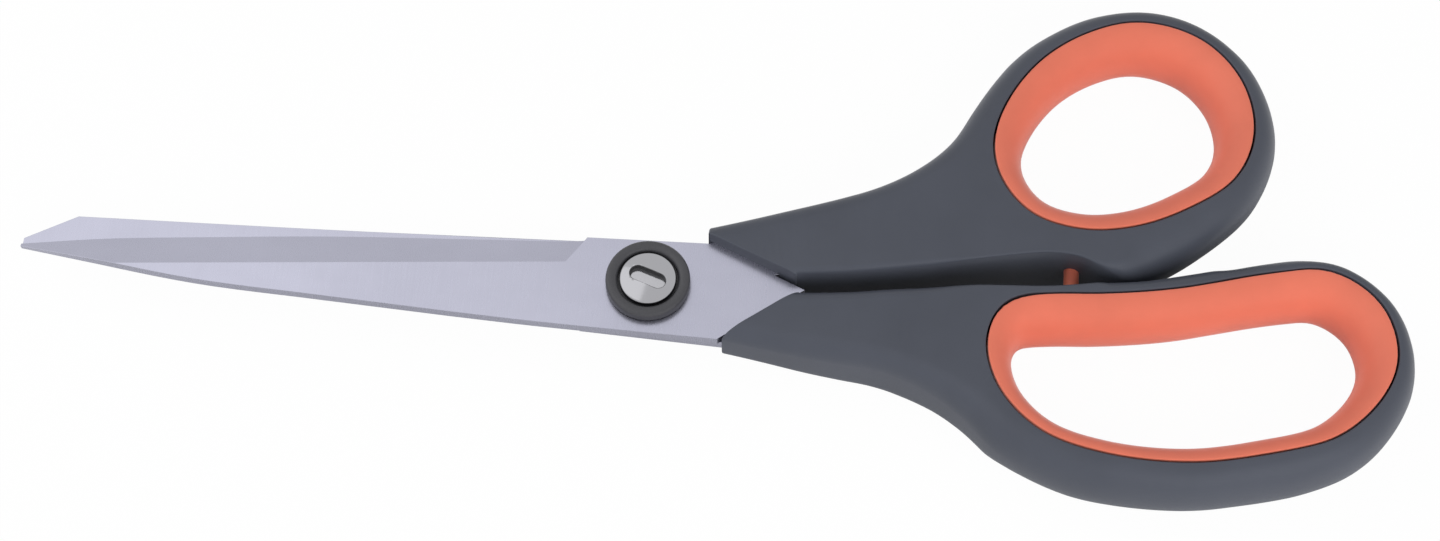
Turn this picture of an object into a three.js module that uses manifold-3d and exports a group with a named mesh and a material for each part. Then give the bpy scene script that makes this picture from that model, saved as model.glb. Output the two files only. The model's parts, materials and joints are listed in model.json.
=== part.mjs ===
// Household scissors: two halves that turn on one screw. Each half is a ground steel
// blade whose tang is held in a rigid moulded handle, with a soft liner in its loop.
// Millimetres, +Z up. Everything is drawn around the pivot, tips towards -X, thumb side
// towards +Y, and the finished scissors are then laid on the backs of the handles.

import * as THREE from 'three';
import { mergeVertices } from 'three/addons/utils/BufferGeometryUtils.js';
import Module from 'manifold-3d';

const wasm = await Module();
wasm.setup();

// Clearances
const FIT = 0.3;
const BLADE_GAP = 0.1;
const TURN_GAP = 0.1;
const BOLSTER_GAP = 0.45;

// Blades
const BLADE_REACH = 97.7;
const BLADE_THICK = 1.8;
const EDGE_THICK = 0.4;
const GRIND_WIDTH = 5;
const GRIND_SLOPE = 4.3;
const GRIND_HEEL_X = -13;
const GRIND_HEEL_Y = 2.7;
const GRIND_RUNOUT = 4;
const EDGE_HEEL_Y = 6.9;
const RICASSO_HALF = 7.2;
const RICASSO_START = -10.5;
const FRONT_SPINE_HALF = 8.4;
const REAR_SPINE_HALF = 7.7;
const CLIP_LENGTH = 7.8;
const CLIP_HEIGHT = 6.1;
const BLUNT_TIP = 1.7;

// Tangs
const TANG_WIDTH = 7.6;
const TANG_HOLE = 4;
const TANG_HOLE_PITCH = 12;
const TANG_HOLE_FROM_END = 6;
const TANG_CORNER = 2;
const THUMB_TANG_LENGTH = 34;
const THUMB_TANG_ANGLE = 17;
const FINGER_TANG_LENGTH = 29;
const FINGER_TANG_ANGLE = -4;
const THUMB_ROOT_SHARE = 0.56;
const FINGER_ROOT_SHARE = 0.5;

// V-shaped ends of the handles over the blades
const BOLSTER_X = 23.3;
const THUMB_BOLSTER_Y = 1.4;
const THUMB_BOLSTER_ANGLE = 155.5;
const THUMB_BOLSTER_LENGTH = 16.8;
const FINGER_BOLSTER_Y = -0.6;
const FINGER_BOLSTER_ANGLE = 215.8;
const FINGER_BOLSTER_LENGTH = 15;
const BOLSTER_CORNER = 1;
const THUMB_END_ANGLE = 45;
const FINGER_END_ANGLE = -30;

// Handles
const HANDLE_THICK = 12;
const BOLSTER_THICK = 8.8;
const TAPER_START = 12;
const TAPER_END = 40;
const ROUND_SIDE = 3.6;
const CLOSING_TRIM = 2.4;
const ROUND_FACE = 4.2;
const ROUND_STEPS = 3;

// Closing edges: from the pivot to the heel, and the height of the recess over the pivot
const CLOSING_LENGTH = 72.5;
const CLOSING_RISE = 7.7;

// Loops: the free hole inside each liner, the liner's width and the width of the ring
const THUMB_HOLE_LEFT = 56.8;
const THUMB_HOLE_LOW = 16.65;
const THUMB_HOLE_LENGTH = 30.6;
const THUMB_HOLE_WIDTH = 28.2;
const THUMB_LINER = 4.85;
const THUMB_LINER_LIFT = 0.1;
const THUMB_LINER_LEAN = 0.06;
const THUMB_RING = 9.3;
const FINGER_HOLE_LEFT = 56;
const FINGER_HOLE_LOW = -21.9;
const FINGER_HOLE_LENGTH = 52.4;
const FINGER_HOLE_WIDTH = 24.2;
const FINGER_LINER = 4.4;
const FINGER_LINER_LIFT = 0.22;
const FINGER_LINER_LEAN = 0.1;
const FINGER_RING = 8.4;
const NOSE_FLAT = 0.3;
const TONGUE_HEIGHT = 1.2;
const TONGUE_THICK = 2.4;

// Pivot
const BARREL = 5;
const HEAD = 8.8;
const HEAD_THICK = 1.7;
const HEAD_EDGE = 0.35;
const SLOT_LENGTH = 5.8;
const SLOT_WIDTH = 1.1;
const SLOT_DEPTH = 0.7;
const SLOT_ANGLE = -20.6;
const WASHER = 13;
const WASHER_THICK = 1.8;
const WASHER_FLOOR = 0.5;
const WASHER_EDGE = 0.5;
const NUT = 8.8;
const NUT_THICK = 1.7;
const STUD = 3.6;

// Stop bumper
const BUMPER = 2.4;
const BUMPER_SEAT = 2;
const BUMPER_X = 65;
const BUMPER_REST_GAP = 0.4;

const ROUND_SIDES = 32;
const CURVE_STEPS = 6;
const OUTLINE_TOLERANCE = 0.04;

const rad = THREE.MathUtils.degToRad;
const p2 = (x, y) => new THREE.Vector2(x, y);
const along = (degrees) => p2(Math.cos(rad(degrees)), Math.sin(rad(degrees)));

// Places given as shares of a length and a width
function placed(length, width, left = 0, low = 0) {
  return ([u, v]) => p2(left + u * length, low + v * width);
}

// A smooth curve through the given points
function through(points, closed) {
  const nodes = points.map((p) => new THREE.Vector3(p.x, p.y, 0));
  const spans = closed ? nodes.length : nodes.length - 1;
  const curve = new THREE.CatmullRomCurve3(nodes, closed, 'centripetal');
  const drawn = curve.getPoints(spans * CURVE_STEPS).map((p) => p2(p.x, p.y));
  if (closed) drawn.pop();
  return drawn;
}

// A polygon with rounded corners, each corner given as [point, radius]
function filleted(corners) {
  const count = corners.length;
  return corners.flatMap(([corner, radius], i) => {
    const before = corners[(i + count - 1) % count][0].clone().sub(corner).normalize();
    const after = corners[(i + 1) % count][0].clone().sub(corner).normalize();
    if (radius === 0) return [corner];
    const half = Math.acos(before.dot(after)) / 2;
    const centre = before.clone().add(after).setLength(radius / Math.sin(half)).add(corner);
    const start = before.multiplyScalar(radius / Math.tan(half)).add(corner).sub(centre);
    const end = after.multiplyScalar(radius / Math.tan(half)).add(corner).sub(centre);
    const sweep = Math.atan2(start.cross(end), start.dot(end));
    const steps = Math.max(2, Math.ceil(Math.abs(sweep) / rad(15)));
    return Array.from({ length: steps + 1 }, (_, k) => {
      const turn = start.clone().rotateAround(p2(0, 0), (sweep * k) / steps);
      return turn.add(centre);
    });
  });
}

// An outline moved outwards; the distance may depend on the outward direction
function offset(points, distance) {
  const count = points.length;
  return points.map((p, i) => {
    const back = p.clone().sub(points[(i + count - 1) % count]).normalize();
    const ahead = points[(i + 1) % count].clone().sub(p).normalize();
    const normal = p2(back.y + ahead.y, -back.x - ahead.x).normalize();
    const stretch = Math.max(0.4, normal.x * ahead.y - normal.y * ahead.x);
    const reach = typeof distance === 'function' ? distance(normal) : distance;
    return normal.multiplyScalar(reach / stretch).add(p);
  });
}

// The same outline without the points that it can spare
function thinned(points) {
  const kept = [points[0]];
  let from = 0;
  for (let to = 2; to <= points.length; to += 1) {
    const end = points[to % points.length];
    const chord = end.clone().sub(points[from]);
    const skipped = points.slice(from + 1, to);
    const strays = skipped.some((p) => {
      const away = p.clone().sub(points[from]);
      return Math.abs(chord.cross(away)) > OUTLINE_TOLERANCE * chord.length();
    });
    if (strays) {
      from = to - 1;
      kept.push(points[from]);
    }
  }
  return kept;
}

function solid(geometry) {
  geometry.deleteAttribute('normal');
  geometry.deleteAttribute('uv');
  const welded = mergeVertices(geometry, 1e-4);
  const index = welded.index.array;
  const faces = [];
  for (let i = 0; i < index.length; i += 3) {
    const [a, b, c] = index.slice(i, i + 3);
    if (a !== b && b !== c && c !== a) faces.push(a, b, c);
  }
  return new wasm.Manifold(new wasm.Mesh({
    numProp: 3,
    vertProperties: Float32Array.from(welded.attributes.position.array),
    triVerts: Uint32Array.from(faces),
  }));
}

// A straight-walled plate between two heights
function plate(outline, low, high, holes = []) {
  const shape = new THREE.Shape(outline);
  shape.holes = holes.map((hole) => new THREE.Path(hole));
  const geometry = new THREE.ExtrudeGeometry(shape, { depth: high - low, bevelEnabled: false });
  return solid(geometry.translate(0, 0, low));
}

// A plate with rounded edges, its widest outline given, centred on z = 0
function roundedPlate(outline, thick) {
  const face = thinned(offset(outline, -ROUND_SIDE));
  const geometry = new THREE.ExtrudeGeometry(new THREE.Shape(face), {
    depth: thick - 2 * ROUND_FACE,
    bevelThickness: ROUND_FACE,
    bevelSize: ROUND_SIDE,
    bevelSegments: ROUND_STEPS,
  });
  return solid(geometry.translate(0, 0, ROUND_FACE - thick / 2));
}

// A turned piece on the Z axis from [radius, height] corners
function turned(profile) {
  const points = profile.map(([r, z]) => p2(r, z));
  return solid(new THREE.LatheGeometry(points, ROUND_SIDES).rotateX(Math.PI / 2));
}

function rod(diameter, low, high, x = 0, y = 0) {
  const geometry = new THREE.CylinderGeometry(diameter / 2, diameter / 2, high - low, ROUND_SIDES);
  return solid(geometry.rotateX(Math.PI / 2).translate(x, y, (low + high) / 2));
}

// Where two lines meet, each given by a point and a direction
function crossing(a, aDir, b, bDir) {
  const t = b.clone().sub(a).cross(bDir) / aDir.cross(bDir);
  return aDir.clone().multiplyScalar(t).add(a);
}

// Levels of the two blades
const frontLow = BLADE_GAP / 2;
const frontHigh = frontLow + BLADE_THICK;

// The V lines of the handle ends, and the blade edges that run along them
const thumbV = p2(BOLSTER_X, THUMB_BOLSTER_Y);
const thumbVDir = along(THUMB_BOLSTER_ANGLE);
const fingerV = p2(BOLSTER_X, FINGER_BOLSTER_Y);
const fingerVDir = along(FINGER_BOLSTER_ANGLE);
const thumbVEdge = along(THUMB_BOLSTER_ANGLE + 90).multiplyScalar(BOLSTER_GAP).add(thumbV);
const fingerVEdge = along(FINGER_BOLSTER_ANGLE - 90).multiplyScalar(BOLSTER_GAP).add(fingerV);
const apex = crossing(thumbVEdge, thumbVDir, fingerVEdge, fingerVDir);

// Each tang leaves the middle of its V line
const thumbRoot = thumbVDir.clone().multiplyScalar(THUMB_BOLSTER_LENGTH * THUMB_ROOT_SHARE).add(thumbV);
const fingerRoot = fingerVDir.clone().multiplyScalar(FINGER_BOLSTER_LENGTH * FINGER_ROOT_SHARE).add(fingerV);

function tang(root, angle, length) {
  const axis = along(angle);
  const side = along(angle + 90).multiplyScalar(TANG_WIDTH / 2);
  const end = axis.clone().multiplyScalar(length).add(root);
  const firstHole = axis.clone().multiplyScalar(-TANG_HOLE_FROM_END).add(end);
  const secondHole = axis.clone().multiplyScalar(-TANG_HOLE_PITCH).add(firstHole);
  return { root, axis, side, end, holes: [firstHole, secondHole] };
}
const thumbTang = tang(thumbRoot, THUMB_TANG_ANGLE, THUMB_TANG_LENGTH);
const fingerTang = tang(fingerRoot, FINGER_TANG_ANGLE, FINGER_TANG_LENGTH);

const above = (t, p) => t.side.clone().add(p);
const below = (t, p) => p.clone().sub(t.side);

// The tang's corners, from where its lower edge leaves the V to where its upper edge comes back
function tangCorners(t, vEdge, vDir) {
  const lowMouth = crossing(below(t, t.root), t.axis, vEdge, vDir);
  const highMouth = crossing(above(t, t.root), t.axis, vEdge, vDir);
  return { lowMouth, lowEnd: below(t, t.end), highEnd: above(t, t.end), highMouth };
}
const thumbTangEnds = tangCorners(thumbTang, thumbVEdge, thumbVDir);
const fingerTangEnds = tangCorners(fingerTang, fingerVEdge, fingerVDir);

// Front blade: straight taper to a point, spine along the bottom, cutting edge on top
const edgeAt = placed(-BLADE_REACH, EDGE_HEEL_Y);
const frontSpine = through([
  [1, 0.024], [0.906, 0.19], [0.716, 0.512], [0.512, 0.679], [0.205, 0.905], [0, 1],
].map(placed(-BLADE_REACH, -FRONT_SPINE_HALF)), false);
const cuttingEdge = through([
  p2(RICASSO_START, RICASSO_HALF), p2(GRIND_HEEL_X, EDGE_HEEL_Y),
  ...[[0.246, 0.928], [0.512, 0.754], [0.706, 0.536], [0.87, 0.319], [1, 0.043]].map(edgeAt),
], false);
const spineEnd = crossing(p2(0, -FRONT_SPINE_HALF), p2(1, -0.03), fingerVEdge, fingerVDir);
const frontOutline = [
  ...frontSpine,
  spineEnd,
  apex,
  thumbTangEnds.lowMouth,
  ...filleted([
    [thumbTangEnds.lowMouth, 0], [thumbTangEnds.lowEnd, TANG_CORNER],
    [thumbTangEnds.highEnd, TANG_CORNER], [thumbTangEnds.highMouth, 0],
  ]).slice(1),
  ...cuttingEdge,
];

// Rear blade: straight spine along the top with a clipped tip, cutting edge below
const rearSpineEnd = crossing(p2(0, REAR_SPINE_HALF), p2(1, 0.03), thumbVEdge, thumbVDir);
const rearSpine = through([
  ...[[0, 1], [0.205, 0.935], [0.512, 0.857]].map(placed(-BLADE_REACH, REAR_SPINE_HALF)),
  p2(CLIP_LENGTH - BLADE_REACH, CLIP_HEIGHT),
], false);
const rearEdge = through([
  ...[[1, 0.058], [0.87, -0.246], [0.706, -0.478], [0.512, -0.71], [0.246, -0.899]].map(edgeAt),
  p2(GRIND_HEEL_X, -EDGE_HEEL_Y), p2(RICASSO_START, -RICASSO_HALF),
], false);
const rearOutline = [
  ...rearEdge,
  fingerTangEnds.lowMouth,
  ...filleted([
    [fingerTangEnds.lowMouth, 0], [fingerTangEnds.lowEnd, TANG_CORNER],
    [fingerTangEnds.highEnd, TANG_CORNER], [fingerTangEnds.highMouth, 0],
  ]).slice(1),
  apex,
  rearSpineEnd,
  ...rearSpine,
  p2(-BLADE_REACH, BLUNT_TIP),
];

// The hollow left by grinding: a slanting prism whose floor runs from the ridge down to the edge
function grind() {
  const reach = 2 * BLADE_REACH;
  const floor = new THREE.Shape([
    p2(-reach, 0), p2(0, 0), p2(GRIND_RUNOUT * 2, GRIND_WIDTH * 2), p2(-reach, GRIND_WIDTH * 2),
  ]);
  const tilt = Math.atan2(BLADE_THICK - EDGE_THICK, GRIND_WIDTH);
  const geometry = new THREE.ExtrudeGeometry(floor, { depth: 3 * BLADE_THICK, bevelEnabled: false });
  geometry.rotateX(-tilt).rotateZ(rad(GRIND_SLOPE)).translate(GRIND_HEEL_X, GRIND_HEEL_Y, frontHigh);
  return solid(geometry);
}

function blade(outline, low, holes, grindCut) {
  let body = plate(outline, low, low + BLADE_THICK).subtract(grindCut);
  body = body.subtract(rod(BARREL + 2 * FIT, low - 1, low + BLADE_THICK + 1));
  for (const hole of holes) {
    body = body.subtract(rod(TANG_HOLE, low - 1, low + BLADE_THICK + 1, hole.x, hole.y));
  }
  return body;
}
const turnedOver = new THREE.Matrix4().makeRotationX(Math.PI);
const frontBlade = blade(frontOutline, frontLow, thumbTang.holes, grind());
const rearBlade = blade(rearOutline, -frontHigh, fingerTang.holes, grind().transform(turnedOver.elements));

// Free hole of the thumb loop, an egg leaning up to the right
const thumbHole = through([
  [0, 0.338], [0.029, 0.182], [0.131, 0.051], [0.317, 0], [0.529, 0.037], [0.742, 0.148], [0.932, 0.312],
  [1, 0.518], [0.954, 0.76], [0.812, 0.935], [0.595, 1], [0.399, 0.936], [0.203, 0.781], [0.059, 0.554],
].map(placed(THUMB_HOLE_LENGTH, THUMB_HOLE_WIDTH, THUMB_HOLE_LEFT, THUMB_HOLE_LOW)), true);

// Free hole of the finger loop, long, flat on top and round at the far end
const fingerHole = through([
  [0, 0.533], [0.027, 0.318], [0.118, 0.12], [0.277, 0.017], [0.496, 0.002], [0.706, 0.095], [0.868, 0.219],
  [0.969, 0.45], [1, 0.657], [0.969, 0.872], [0.887, 0.992], [0.782, 0.968], [0.649, 0.901], [0.458, 0.797],
  [0.267, 0.736], [0.095, 0.705], [0.025, 0.669],
].map(placed(FINGER_HOLE_LENGTH, FINGER_HOLE_WIDTH, FINGER_HOLE_LEFT, FINGER_HOLE_LOW)), true);

const thumbFuller = p2(THUMB_LINER_LEAN, THUMB_LINER_LIFT);
const fingerFuller = p2(FINGER_LINER_LEAN, FINGER_LINER_LIFT);
const thumbLoop = { hole: thumbHole, liner: THUMB_LINER, fuller: thumbFuller };
const fingerLoop = { hole: fingerHole, liner: FINGER_LINER, fuller: fingerFuller };

// Part of a ring around a hole, between two places given in nodes of the hole's curve
function ringArc(hole, ring, from, to, count) {
  const outer = offset(hole, ring);
  return Array.from({ length: count }, (_, k) => {
    const place = from + ((to - from) * k) / (count - 1);
    return outer[Math.round(place * CURVE_STEPS) % outer.length];
  });
}

// The far parts of the rings, from the heel round to where the backs of the handles leave them
const thumbRing = ringArc(thumbHole, THUMB_RING, 6, 13, 10);
const fingerRing = ringArc(fingerHole, FINGER_RING, 2.5, 12, 14);

// Places given as shares of the way from one point to another
function between(from, to) {
  return placed(to.x - from.x, to.y - from.y, from.x, from.y);
}

// Closing edges, where the two handles face each other between the V and the heel, and the
// finger edge's run-out onto the top of its ring
const closingAt = placed(CLOSING_LENGTH, CLOSING_RISE);
const fingerHeel = closingAt([0.993, 0.545]);
const fingerRunOut = between(fingerHeel, fingerRing[fingerRing.length - 1]);
const thumbClosing = through([
  [0.11, -0.104], [0.221, 0.1], [0.317, 0.25], [0.428, 0.335], [0.531, 0.47], [0.655, 0.69],
  [0.759, 0.883], [0.841, 1], [0.903, 0.961], [0.952, 0.779], [1, 0.649],
].map(closingAt), false);
const fingerClosing = through([
  [0.11, -0.208], [0.221, -0.16], [0.317, -0.11], [0.428, -0.052], [0.531, 0.065], [0.662, 0.18],
  [0.772, 0.234], [0.841, 0.273], [0.91, 0.364],
].map(closingAt).concat(fingerHeel, [
  [0.313, 0.363], [0.626, 0.701], [0.876, 0.968], [1.189, 1.388],
].map(fingerRunOut)), false);

// Outer edges of the handles between the blade and the loop
const thumbBack = [
  [0.799, 1.634], [0.713, 1.333], [0.599, 1.093], [0.352, 0.805], [0.176, 0.595], [-0.387, 0],
].map(placed(THUMB_HOLE_LEFT, THUMB_HOLE_LOW));
const fingerBack = [
  [-0.393, 0.228], [0.089, 0.347], [0.214, 0.402], [0.321, 0.461], [0.482, 0.53], [0.643, 0.584],
  [0.732, 0.662], [0.807, 0.758], [0.884, 0.909], [0.954, 1.078],
].map(placed(FINGER_HOLE_LEFT, FINGER_HOLE_LOW));

// Whole outlines, with the first part of the closing edges still full and round
function fullClosing(edge, trim, count) {
  const everySecond = edge.filter((p, i) => i % (2 * CURVE_STEPS) === 0);
  return everySecond.slice(0, count).map((p) => p2(p.x, p.y + trim));
}
const thumbHeel = closingAt([1, 0.623]);
const thumbRise = between(thumbHeel, thumbRing[0]);
const heel = [
  closingAt([0.966, 0.623]), thumbHeel,
  ...[[0.171, 0.073], [0.367, 0.225], [0.613, 0.469]].map(thumbRise),
];
const thumbOutline = through([
  closingAt([-0.303, -1.558]),
  ...fullClosing(thumbClosing, -CLOSING_TRIM, 5),
  ...heel,
  ...thumbRing,
  ...thumbBack,
], false);
const fingerOutline = through([
  ...fingerBack,
  ...fingerRing,
  ...fullClosing(fingerClosing, CLOSING_TRIM, 6).reverse(),
  closingAt([-0.303, 1.558]),
], false);

// Everything on one side of a closing edge
function closingSide(edge, outward) {
  const far = 3 * BLADE_REACH;
  const first = edge[0];
  const last = edge[edge.length - 1];
  return [
    p2(-far, first.y), ...edge, p2(last.x + ROUND_SIDE, -outward * far),
    p2(far, -outward * far), p2(far, outward * far), p2(-far, outward * far),
  ];
}

// Ground covered by a handle beyond its V line, with the outer corner rounded off
function bolsterSide(vPoint, vDir, length, outward) {
  const corner = vDir.clone().multiplyScalar(length).add(vPoint);
  const start = vDir.clone().multiplyScalar(-3 * BLADE_REACH).add(vPoint);
  const end = along(outward).multiplyScalar(3 * BLADE_REACH).add(corner);
  const corners = [[start, 0], [corner, BOLSTER_CORNER], [end, 0]];
  return THREE.ShapeUtils.isClockWise(corners.map(([p]) => p)) ? corners.reverse() : corners;
}
const thumbSide = filleted(bolsterSide(thumbV, thumbVDir, THUMB_BOLSTER_LENGTH, THUMB_END_ANGLE));
const fingerSide = filleted(bolsterSide(fingerV, fingerVDir, FINGER_BOLSTER_LENGTH, FINGER_END_ANGLE));

// Side view of the handles: thinner at the blade, full height around the loops
function sideTaper() {
  const thin = BOLSTER_THICK / 2;
  const full = HANDLE_THICK / 2;
  const far = 2 * BLADE_REACH;
  const view = [
    p2(-far, -thin), p2(TAPER_START, -thin), p2(TAPER_END, -full), p2(far, -full),
    p2(far, full), p2(TAPER_END, full), p2(TAPER_START, thin), p2(-far, thin),
  ];
  const shape = new THREE.Shape(view);
  const geometry = new THREE.ExtrudeGeometry(shape, { depth: 2 * far, bevelEnabled: false });
  return solid(geometry.rotateX(Math.PI / 2).translate(0, far, 0));
}

// Room for a tang in its handle, with posts left standing in the tang's holes
function tangRoom(t, low) {
  const grown = (p, sideways, forward) => t.side.clone().setLength(sideways)
    .add(t.axis.clone().multiplyScalar(forward)).add(p);
  const half = TANG_WIDTH / 2 + FIT;
  const room = filleted([
    [grown(t.root, -half, -TANG_WIDTH * 3), 0], [grown(t.end, -half, FIT), TANG_CORNER],
    [grown(t.end, half, FIT), TANG_CORNER], [grown(t.root, half, -TANG_WIDTH * 3), 0],
  ]);
  let body = plate(room, low - FIT, low + BLADE_THICK + FIT);
  for (const hole of t.holes) {
    body = body.subtract(rod(TANG_HOLE - 2 * FIT, -HANDLE_THICK, HANDLE_THICK, hole.x, hole.y));
  }
  return body;
}

// The liner's outer line, a little fuller towards one side, or a line a given way beyond it
function linerLine({ hole, liner, fuller }, beyond) {
  return thinned(offset(hole, (normal) => liner * (1 + fuller.dot(normal)) + beyond));
}

function handle(outline, side, closing, loop, room) {
  const opening = linerLine(loop, FIT);
  const groove = linerLine(loop, TONGUE_HEIGHT + FIT);
  const grooveHalf = TONGUE_THICK / 2 + FIT;
  return roundedPlate(outline, HANDLE_THICK)
    .intersect(plate(side, -HANDLE_THICK, HANDLE_THICK))
    .intersect(plate(closing, -HANDLE_THICK, HANDLE_THICK))
    .intersect(sideTaper())
    .subtract(plate(opening, -HANDLE_THICK, HANDLE_THICK))
    .subtract(plate(groove, -grooveHalf, grooveHalf))
    .subtract(room);
}

// Liner: full round on the inside, flat against the ring, with a tongue in the ring's groove
function grip(loop) {
  const nose = loop.liner - NOSE_FLAT;
  const outer = linerLine(loop, 0);
  const board = new THREE.Shape(thinned(offset(loop.hole, 3 * loop.liner)));
  board.holes = [new THREE.Path(thinned(offset(loop.hole, nose)))];
  const half = HANDLE_THICK / 2 - NOSE_FLAT;
  const geometry = new THREE.ExtrudeGeometry(board, {
    depth: 2 * NOSE_FLAT,
    bevelThickness: half,
    bevelSize: nose,
    bevelSegments: ROUND_STEPS,
  });
  const body = solid(geometry.translate(0, 0, -NOSE_FLAT));
  const tongueRim = linerLine(loop, TONGUE_HEIGHT);
  const tongueRoot = linerLine(loop, -TONGUE_HEIGHT);
  return body
    .intersect(plate(outer, -HANDLE_THICK, HANDLE_THICK))
    .add(plate(tongueRim, -TONGUE_THICK / 2, TONGUE_THICK / 2, [tongueRoot]));
}

// Bumper: a soft nub set in the thumb handle's closing edge, facing the finger handle
function heightAt(curve, x) {
  const after = curve.findIndex((p) => p.x > x);
  const [a, b] = curve.slice(after - 1, after + 1);
  return THREE.MathUtils.mapLinear(x, a.x, b.x, a.y, b.y);
}
const bumperRoot = heightAt(thumbClosing, BUMPER_X);
const bumperReach = heightAt(fingerClosing, BUMPER_X) + BUMPER_REST_GAP;
function bumperPin(diameter, seat, nose) {
  const r = diameter / 2;
  const round = Array.from({ length: 5 }, (_, k) => {
    const turn = rad(90 - 22.5 * k);
    return p2(r * Math.cos(turn), nose + r - r * Math.sin(turn));
  });
  const profile = [...round, p2(r, bumperRoot + seat), p2(0, bumperRoot + seat)];
  return solid(new THREE.LatheGeometry(profile, 20).translate(BUMPER_X, 0, 0));
}
const bumper = bumperPin(BUMPER, BUMPER_SEAT, bumperReach);
const bumperHole = bumperPin(BUMPER + 2 * FIT, BUMPER_SEAT + FIT, bumperReach - BUMPER);

const thumbRoom = tangRoom(thumbTang, frontLow).add(bumperHole);
const fingerRoom = tangRoom(fingerTang, -frontHigh);
const thumbHandle = handle(
  thumbOutline, thumbSide, closingSide(thumbClosing, 1), thumbLoop, thumbRoom,
);
const fingerHandle = handle(
  fingerOutline, fingerSide, closingSide(fingerClosing, -1), fingerLoop, fingerRoom,
);
const thumbGrip = grip(thumbLoop);
const fingerGrip = grip(fingerLoop);

// Pivot: shouldered screw and nut, each sunk in a cup washer
const cupLow = frontHigh + TURN_GAP;
const seat = cupLow + WASHER_FLOOR;
const cupHigh = cupLow + WASHER_THICK;
function cupWasher() {
  const bore = BARREL / 2 + FIT;
  const sink = HEAD / 2 + FIT;
  const rim = WASHER / 2;
  return turned([
    [bore, cupLow], [rim, cupLow], [rim, cupHigh - WASHER_EDGE], [rim - WASHER_EDGE, cupHigh],
    [sink, cupHigh], [sink, seat], [bore, seat], [bore, cupLow],
  ]);
}
function screw() {
  const top = seat + HEAD_THICK;
  const r = HEAD / 2;
  const body = turned([
    [0, -seat - NUT_THICK + FIT], [STUD / 2, -seat - NUT_THICK + FIT], [STUD / 2, -seat + FIT],
    [BARREL / 2, -seat + FIT], [BARREL / 2, seat], [r, seat], [r, top - HEAD_EDGE],
    [r - HEAD_EDGE, top], [0, top],
  ]);
  const end = (SLOT_LENGTH - SLOT_WIDTH) / 2;
  const half = SLOT_WIDTH / 2;
  const slot = filleted([
    [p2(-end - half, -half), half], [p2(end + half, -half), half],
    [p2(end + half, half), half], [p2(-end - half, half), half],
  ]).map((p) => p.rotateAround(p2(0, 0), rad(SLOT_ANGLE)));
  return body.subtract(plate(slot, top - SLOT_DEPTH, top + 1));
}
function nut() {
  const r = NUT / 2;
  const bore = STUD / 2 + FIT;
  const top = seat + NUT_THICK;
  return turned([
    [bore, seat], [r, seat], [r, top - HEAD_EDGE], [r - HEAD_EDGE, top], [bore, top], [bore, seat],
  ]);
}

// Finishes
const steel = { color: 0xb8b9c3, roughness: 0.32, metalness: 1 };
const bright = { color: 0xd9dade, roughness: 0.15, metalness: 1 };
const charcoal = { color: 0x4d4e57, roughness: 0.55, metalness: 0 };
const coral = { color: 0xe0735a, roughness: 0.6, metalness: 0 };
const black = { color: 0x34343a, roughness: 0.5, metalness: 0 };

const scissors = new THREE.Group();
function add(name, body, finish) {
  const { vertProperties, triVerts } = body.getMesh();
  const geometry = new THREE.BufferGeometry();
  geometry.setAttribute('position', new THREE.BufferAttribute(Float32Array.from(vertProperties), 3));
  geometry.setIndex(new THREE.BufferAttribute(Uint32Array.from(triVerts), 1));
  geometry.computeVertexNormals();
  const mesh = new THREE.Mesh(geometry, new THREE.MeshStandardMaterial(finish));
  mesh.name = name;
  scissors.add(mesh);
}
add('front_blade', frontBlade, steel);
add('rear_blade', rearBlade, steel);
add('thumb_handle', thumbHandle, charcoal);
add('finger_handle', fingerHandle, charcoal);
add('thumb_grip', thumbGrip, coral);
add('finger_grip', fingerGrip, coral);
add('stop_bumper', bumper, coral);
add('pivot_screw', screw(), bright);
add('pivot_nut', nut().transform(turnedOver.elements), bright);
add('front_washer', cupWasher(), black);
add('rear_washer', cupWasher().transform(turnedOver.elements), black);

// Laid on the backs of the handles, centred over the origin
const box = new THREE.Box3().setFromObject(scissors);
const middle = box.getCenter(new THREE.Vector3());
scissors.position.set(-middle.x, -middle.y, -box.min.z);
scissors.updateMatrixWorld(true);

export default scissors;
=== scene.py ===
"""Household scissors with soft lined loops, dressed around their construction frame.

Every piece of the frame is modelled again with the fine, rounded surfaces of the real one: ground
blades, moulded handles, soft liners, the slotted pivot screw in its cup washers and the stop.
"""

import json
import math

import bmesh
import bpy
from bpy.props import FloatProperty, FloatVectorProperty, IntProperty, PointerProperty
from mathutils import Matrix, Vector
from mathutils.geometry import interpolate_bezier
from mathutils.kdtree import KDTree


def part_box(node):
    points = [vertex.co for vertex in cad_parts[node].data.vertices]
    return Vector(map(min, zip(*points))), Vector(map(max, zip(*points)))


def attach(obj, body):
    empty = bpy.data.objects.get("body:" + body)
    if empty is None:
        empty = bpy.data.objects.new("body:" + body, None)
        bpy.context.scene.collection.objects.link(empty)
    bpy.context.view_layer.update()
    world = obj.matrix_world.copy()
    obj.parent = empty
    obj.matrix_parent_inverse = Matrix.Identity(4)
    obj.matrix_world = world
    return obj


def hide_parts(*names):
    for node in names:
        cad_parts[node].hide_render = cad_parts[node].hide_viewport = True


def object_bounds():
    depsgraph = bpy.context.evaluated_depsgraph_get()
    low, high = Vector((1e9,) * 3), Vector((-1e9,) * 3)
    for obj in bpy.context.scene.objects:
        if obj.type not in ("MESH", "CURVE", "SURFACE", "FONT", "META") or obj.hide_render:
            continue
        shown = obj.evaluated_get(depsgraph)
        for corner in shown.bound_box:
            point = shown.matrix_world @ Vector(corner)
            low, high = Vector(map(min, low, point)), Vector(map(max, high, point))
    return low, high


bl_info = {
    "name": "Soft Grip Scissors",
    "version": (1, 0, 0),
    "blender": (4, 5, 0),
    "location": "View3D > Sidebar > Scissors",
    "description": "Models the pieces, finishes and studio of a pair of household scissors",
    "category": "Add Mesh",
}

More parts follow.
